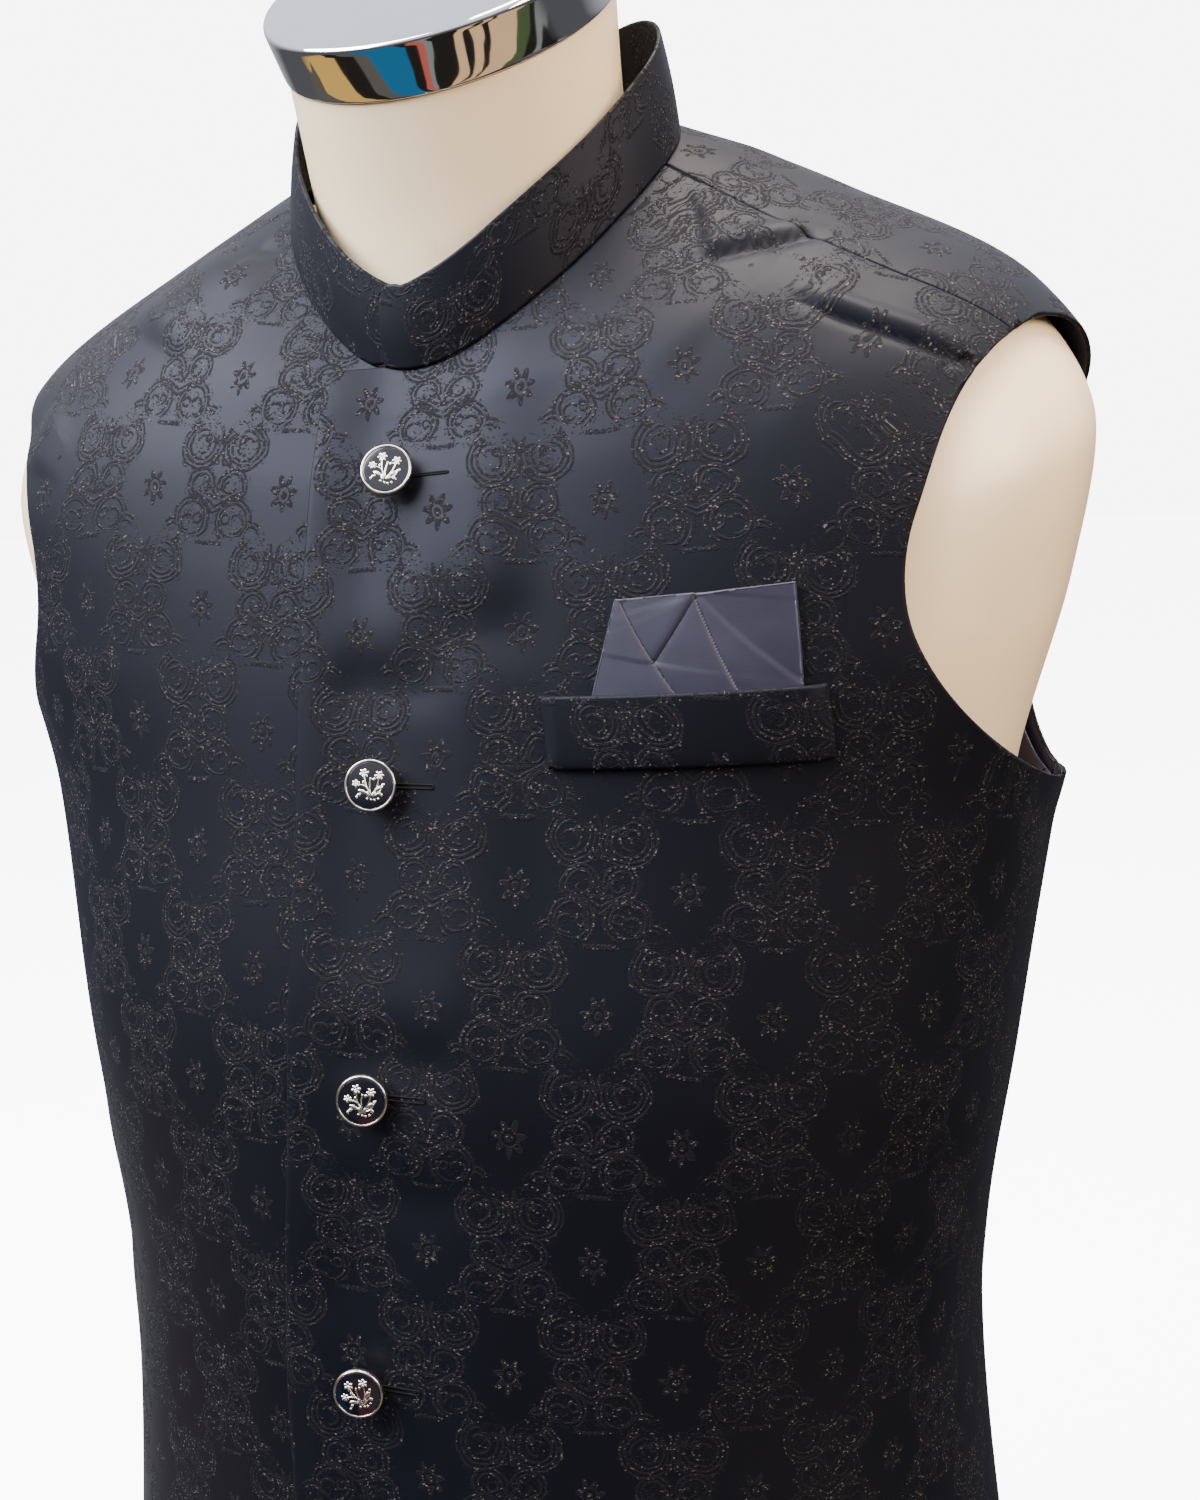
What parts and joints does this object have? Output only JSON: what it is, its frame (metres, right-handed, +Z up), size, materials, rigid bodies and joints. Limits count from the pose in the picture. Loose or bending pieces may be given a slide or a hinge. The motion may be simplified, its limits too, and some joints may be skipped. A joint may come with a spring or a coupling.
{
  "type": "nehru jacket on a limbless torso form",
  "caption": "Sleeveless stand-collar jacket in navy self-figured jacquard, buttoned down the front, with a breast welt and pocket square, on a limbless torso form with a chromed neck cap.",
  "frame": {"origin": "middle of the bounding box in plan, on the flat base that the torso form stands on", "axes": "+Z up; -Y is the way the jacket's front faces; +X is the wearer's left"},
  "size_m": [0.4368, 0.2735, 0.8724],
  "materials": {
    "jacquard": "navy self-figured jacquard, satin ground with a duller raised pattern",
    "satin": "navy lining satin",
    "gelcoat": "cream gelcoat over fibreglass, semi-gloss",
    "neck_chrome": "polished chrome plate",
    "button_metal": "pale silver-gold plate, polished",
    "button_enamel": "near-black enamel, glossy"
  },
  "bodies": {
    "root": {"form_torso": "gelcoat", "form_neck_cap": "neck_chrome", "front_left": "jacquard", "front_right": "jacquard", "back": "jacquard", "collar": "jacquard", "pocket_welt": "jacquard", "pocket_square": "satin", "armhole_lining_left": "satin", "armhole_lining_right": "satin", "button_1": "button_metal", "button_2": "button_metal", "button_3": "button_metal", "button_4": "button_metal", "button_5": "button_metal", "button_face_1": "button_enamel", "button_face_2": "button_enamel", "button_face_3": "button_enamel", "button_face_4": "button_enamel", "button_face_5": "button_enamel"}
  },
  "joints": []
}
